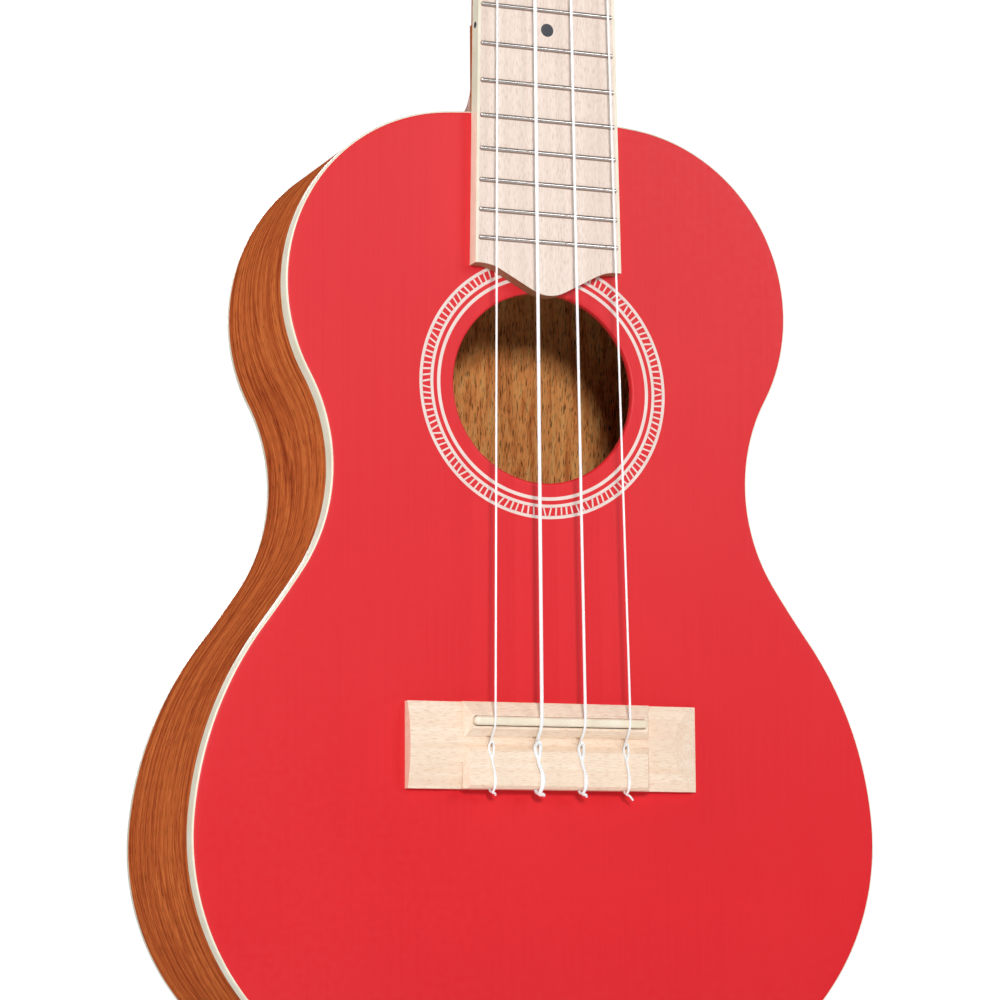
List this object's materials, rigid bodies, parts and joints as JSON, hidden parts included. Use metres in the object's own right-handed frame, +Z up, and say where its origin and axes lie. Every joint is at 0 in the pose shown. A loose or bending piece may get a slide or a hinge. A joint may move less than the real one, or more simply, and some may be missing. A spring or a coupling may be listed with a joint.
{
  "type": "ukulele",
  "caption": "Concert-size ukulele with a painted soundboard, mahogany back and sides, maple bridge and fingerboard, nylon strings and geared tuners.",
  "frame": {"origin": "middle of the neck's front face at the nut line, in the plane of the soundboard's front", "axes": "+Z up the neck towards the headstock, +Y from the soundboard into the body, +X to the right as seen from the front"},
  "size_m": [0.2014, 0.0825, 0.6072],
  "materials": {
    "painted_top": "satin coral-red lacquer over fine straight grain",
    "mahogany": "satin open-pored mahogany",
    "spruce": "unfinished pale spruce",
    "maple": "fine satin pale maple",
    "cream_plastic": "gloss cream binding",
    "rosette_inlay": "gloss white and red inlay",
    "bone": "polished off-white moulded bone substitute",
    "fret_wire": "polished nickel-silver wire",
    "nylon": "smooth clear white monofilament",
    "dark_inlay": "matte dark grey inlay",
    "chrome": "bright plated",
    "gear_brass": "machined brass",
    "worm_steel": "machined steel",
    "button_plastic": "gloss pearl white"
  },
  "bodies": {
    "instrument": {"soundboard": "painted_top", "back": "mahogany", "side_left": "mahogany", "side_right": "mahogany", "front_binding": "cream_plastic", "back_binding": "cream_plastic", "front_lining": "spruce", "back_lining": "spruce", "neck_block": "spruce", "tail_block": "spruce", "upper_top_brace": "spruce", "lower_top_brace": "spruce", "upper_back_brace": "spruce", "lower_back_brace": "spruce", "bridge_plate": "spruce", "rosette": "rosette_inlay", "bridge": "maple", "saddle": "bone", "fretboard": "maple", "fretboard_binding": "cream_plastic", "position_dots": "dark_inlay", "side_dots": "dark_inlay", "frets": "fret_wire", "nut": "bone", "neck": "mahogany", "heel_cap": "cream_plastic", "headstock_veneer": "painted_top", "tuner_screws": "chrome", "string_1": "nylon", "tuner_1_plate": "chrome", "tuner_1_bushing": "chrome", "string_2": "nylon", "tuner_2_plate": "chrome", "tuner_2_bushing": "chrome", "string_3": "nylon", "tuner_3_plate": "chrome", "tuner_3_bushing": "chrome", "string_4": "nylon", "tuner_4_plate": "chrome", "tuner_4_bushing": "chrome"},
    "post_1": {"tuner_1_post": "chrome", "tuner_1_gear": "gear_brass", "string_1_winding": "nylon"},
    "key_1": {"tuner_1_worm": "worm_steel", "tuner_1_button": "button_plastic"},
    "post_2": {"tuner_2_post": "chrome", "tuner_2_gear": "gear_brass", "string_2_winding": "nylon"},
    "key_2": {"tuner_2_worm": "worm_steel", "tuner_2_button": "button_plastic"},
    "post_3": {"tuner_3_post": "chrome", "tuner_3_gear": "gear_brass", "string_4_winding": "nylon"},
    "key_3": {"tuner_3_worm": "worm_steel", "tuner_3_button": "button_plastic"},
    "post_4": {"tuner_4_post": "chrome", "tuner_4_gear": "gear_brass", "string_3_winding": "nylon"},
    "key_4": {"tuner_4_worm": "worm_steel", "tuner_4_button": "button_plastic"}
  },
  "joints": [
    {"name": "key_1_turn", "type": "hinge", "parent": "instrument", "child": "key_1", "pos_m": [-0.017, 0.02143, 0.02792], "axis": [-1, 0, 0], "continuous": true},
    {"name": "post_1_turn", "type": "hinge", "parent": "instrument", "child": "post_1", "pos_m": [-0.017, 0.00625, 0.03945], "axis": [0, -0.9848, 0.1736], "continuous": true},
    {"name": "key_2_turn", "type": "hinge", "parent": "instrument", "child": "key_2", "pos_m": [-0.017, 0.02838, 0.06731], "axis": [-1, 0, 0], "continuous": true},
    {"name": "post_2_turn", "type": "hinge", "parent": "instrument", "child": "post_2", "pos_m": [-0.017, 0.0132, 0.07884], "axis": [0, -0.9848, 0.1736], "continuous": true},
    {"name": "key_3_turn", "type": "hinge", "parent": "instrument", "child": "key_3", "pos_m": [0.017, 0.02143, 0.02792], "axis": [1, 0, 0], "continuous": true},
    {"name": "post_3_turn", "type": "hinge", "parent": "instrument", "child": "post_3", "pos_m": [0.017, 0.00625, 0.03945], "axis": [0, -0.9848, 0.1736], "continuous": true},
    {"name": "key_4_turn", "type": "hinge", "parent": "instrument", "child": "key_4", "pos_m": [0.017, 0.02838, 0.06731], "axis": [1, 0, 0], "continuous": true},
    {"name": "post_4_turn", "type": "hinge", "parent": "instrument", "child": "post_4", "pos_m": [0.017, 0.0132, 0.07884], "axis": [0, -0.9848, 0.1736], "continuous": true}
  ],
  "couplings": [
    {"joint": "post_1_turn", "follows": "key_1_turn", "ratio": -0.071429},
    {"joint": "post_2_turn", "follows": "key_2_turn", "ratio": -0.071429},
    {"joint": "post_3_turn", "follows": "key_3_turn", "ratio": 0.071429},
    {"joint": "post_4_turn", "follows": "key_4_turn", "ratio": 0.071429}
  ]
}
